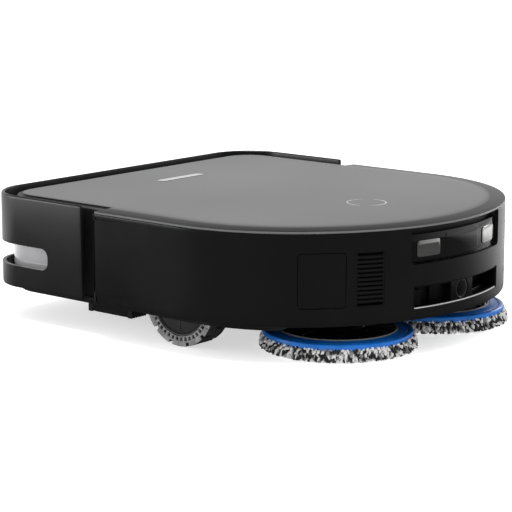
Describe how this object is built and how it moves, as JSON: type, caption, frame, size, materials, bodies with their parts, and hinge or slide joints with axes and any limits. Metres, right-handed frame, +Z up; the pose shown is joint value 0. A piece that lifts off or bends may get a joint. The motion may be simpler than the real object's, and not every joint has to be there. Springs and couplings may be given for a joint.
{
  "type": "robotic floor cleaner",
  "caption": "Low D-shaped floor-cleaning robot with a wraparound bumper, lift-off lid, sprung drive wheels, roller brush, side brush and round spinning mop pads.",
  "frame": {"origin": "on the floor under the middle of the body", "axes": "+Z up, bumper towards -Y, mop pads and docking ports towards +Y, the robot's left side towards +X"},
  "size_m": [0.33, 0.366, 0.1031],
  "materials": {
    "wall_black": "satin",
    "lid_grey": "satin",
    "base_black": "fine texture",
    "inner_plastic": "matte",
    "bumper_grey": "satin",
    "window_dark": "polished",
    "panel_gloss": "polished",
    "contact_metal": "brushed",
    "steel": "brushed",
    "board_green": "semi-matte",
    "battery_blue": "shrink wrap",
    "tank_smoke": "smooth",
    "silver_trim": "satin",
    "print_white": "printed",
    "brush_rubber": "matte",
    "bristle": "matte",
    "tyre_rubber": "matte",
    "rim_black": "satin",
    "ring_blue": "satin",
    "mop_cloth": "looped microfibre",
    "bin_smoke": "smooth",
    "filter_white": "pleated",
    "handle_blue": "satin",
    "button_silver": "satin"
  },
  "bodies": {
    "chassis": {"base_plate": "base_black", "side_shell": "wall_black", "top_deck": "inner_plastic", "mop_bay": "inner_plastic", "wheel_wells": "inner_plastic", "sensor_window": "window_dark", "front_sensors": "inner_plastic", "main_board": "board_green", "battery_pack": "battery_blue", "fan_housing": "inner_plastic", "water_tank": "tank_smoke", "water_pump": "inner_plastic", "mop_drives": "inner_plastic", "rear_panel": "panel_gloss", "ir_window": "window_dark", "charging_contacts": "contact_metal", "rear_port_frame": "panel_gloss", "water_inlet": "base_black", "side_vents": "base_black", "side_panels": "wall_black", "caster_socket": "inner_plastic", "brush_housing": "inner_plastic", "brush_drive": "inner_plastic", "brush_guard": "base_black", "side_brush_motor": "inner_plastic", "cliff_sensors": "window_dark", "housing_screws": "steel", "bumper_switches": "inner_plastic", "suspension_spring_left": "steel", "suspension_spring_right": "steel"},
    "bumper": {"bumper_shell": "bumper_grey", "bumper_guides": "inner_plastic"},
    "lid": {"top_lid": "lid_grey", "lid_inlay": "silver_trim", "touch_mark": "print_white"},
    "power_key": {"power_button": "button_silver"},
    "dust_bin": {"bin_tub": "bin_smoke", "bin_cover": "inner_plastic", "bin_filter": "filter_white"},
    "bin_grip": {"bin_handle": "handle_blue"},
    "fan": {"fan_impeller": "silver_trim"},
    "flap": {"dust_flap": "base_black"},
    "caster": {"caster_fork": "inner_plastic"},
    "caster_roller": {"caster_wheel": "tyre_rubber"},
    "main_brush": {"brush_core": "inner_plastic", "brush_blades": "brush_rubber"},
    "side_brush": {"side_brush_hub": "inner_plastic", "side_brush_arms": "bristle"},
    "arm_left": {"drive_arm_left": "inner_plastic"},
    "arm_right": {"drive_arm_right": "inner_plastic"},
    "wheel_left": {"wheel_rim_left": "rim_black", "wheel_tyre_left": "tyre_rubber"},
    "wheel_right": {"wheel_rim_right": "rim_black", "wheel_tyre_right": "tyre_rubber"},
    "mop_lift_left": {"mop_carrier_left": "inner_plastic"},
    "mop_lift_right": {"mop_carrier_right": "inner_plastic"},
    "mop_left": {"mop_plate_left": "ring_blue", "mop_pad_left": "mop_cloth"},
    "mop_right": {"mop_plate_right": "ring_blue", "mop_pad_right": "mop_cloth"}
  },
  "joints": [
    {"name": "bumper_press", "type": "slide", "parent": "chassis", "child": "bumper", "axis": [0, 1, 0], "range_m": [0, 0.005], "stiffness_N_per_m": 500, "springref_m": -0.001},
    {"name": "lid_lift", "type": "slide", "parent": "chassis", "child": "lid", "axis": [0, 0, 1], "range_m": [0, 0.14]},
    {"name": "bin_lift", "type": "slide", "parent": "chassis", "child": "dust_bin", "axis": [0, 0, 1], "range_m": [0, 0.06]},
    {"name": "bin_handle_turn", "type": "hinge", "parent": "dust_bin", "child": "bin_grip", "pos_m": [0, -0.108, 0.0906], "axis": [1, 0, 0], "range_deg": [0, 90]},
    {"name": "power_button_press", "type": "slide", "parent": "chassis", "child": "power_key", "axis": [0, 0, -1], "range_m": [0, 0.0012], "stiffness_N_per_m": 800},
    {"name": "fan_spin", "type": "hinge", "parent": "chassis", "child": "fan", "pos_m": [-0.055, 0.012, 0.07], "axis": [0, 0, 1], "continuous": true},
    {"name": "dust_flap_swing", "type": "hinge", "parent": "chassis", "child": "flap", "pos_m": [-0.032, 0.1576, 0.0499], "axis": [1, 0, 0], "range_deg": [0, 70], "stiffness_Nm_per_rad": 0.001},
    {"name": "caster_swivel", "type": "hinge", "parent": "chassis", "child": "caster", "pos_m": [0, -0.138, 0.04], "axis": [0, 0, 1], "continuous": true},
    {"name": "caster_roll", "type": "hinge", "parent": "caster", "child": "caster_roller", "pos_m": [0, -0.134, 0.016], "axis": [1, 0, 0], "continuous": true},
    {"name": "main_brush_spin", "type": "hinge", "parent": "chassis", "child": "main_brush", "pos_m": [0, -0.072, 0.027], "axis": [1, 0, 0], "continuous": true},
    {"name": "side_brush_spin", "type": "hinge", "parent": "chassis", "child": "side_brush", "pos_m": [-0.118, -0.132, 0.012], "axis": [0, 0, 1], "continuous": true},
    {"name": "left_suspension", "type": "hinge", "parent": "chassis", "child": "arm_left", "pos_m": [0.115, -0.014, 0.05], "axis": [1, 0, 0], "range_deg": [0, 14], "stiffness_Nm_per_rad": 4, "springref_deg": -5.73, "deforming": ["suspension_spring_left"]},
    {"name": "right_suspension", "type": "hinge", "parent": "chassis", "child": "arm_right", "pos_m": [-0.115, -0.014, 0.05], "axis": [1, 0, 0], "range_deg": [0, 14], "stiffness_Nm_per_rad": 4, "springref_deg": -5.73, "deforming": ["suspension_spring_right"]},
    {"name": "left_wheel_spin", "type": "hinge", "parent": "arm_left", "child": "wheel_left", "pos_m": [0.133, 0.017, 0.035], "axis": [1, 0, 0], "continuous": true},
    {"name": "right_wheel_spin", "type": "hinge", "parent": "arm_right", "child": "wheel_right", "pos_m": [-0.133, 0.017, 0.035], "axis": [1, 0, 0], "continuous": true},
    {"name": "left_mop_lift", "type": "slide", "parent": "chassis", "child": "mop_lift_left", "axis": [0, 0, 1], "range_m": [0, 0.009]},
    {"name": "right_mop_lift", "type": "slide", "parent": "chassis", "child": "mop_lift_right", "axis": [0, 0, 1], "range_m": [0, 0.009]},
    {"name": "left_mop_spin", "type": "hinge", "parent": "mop_lift_left", "child": "mop_left", "pos_m": [0.062, 0.108, 0.03], "axis": [0, 0, 1], "continuous": true},
    {"name": "right_mop_spin", "type": "hinge", "parent": "mop_lift_right", "child": "mop_right", "pos_m": [-0.062, 0.108, 0.03], "axis": [0, 0, 1], "continuous": true}
  ],
  "couplings": [
    {"joint": "bin_lift", "follows": "lid_lift", "ratio": 0.42},
    {"joint": "bin_handle_turn", "follows": "lid_lift", "rad_per_m": 11.2},
    {"joint": "right_mop_lift", "follows": "left_mop_lift", "ratio": 1},
    {"joint": "right_mop_spin", "follows": "left_mop_spin", "ratio": -1}
  ]
}
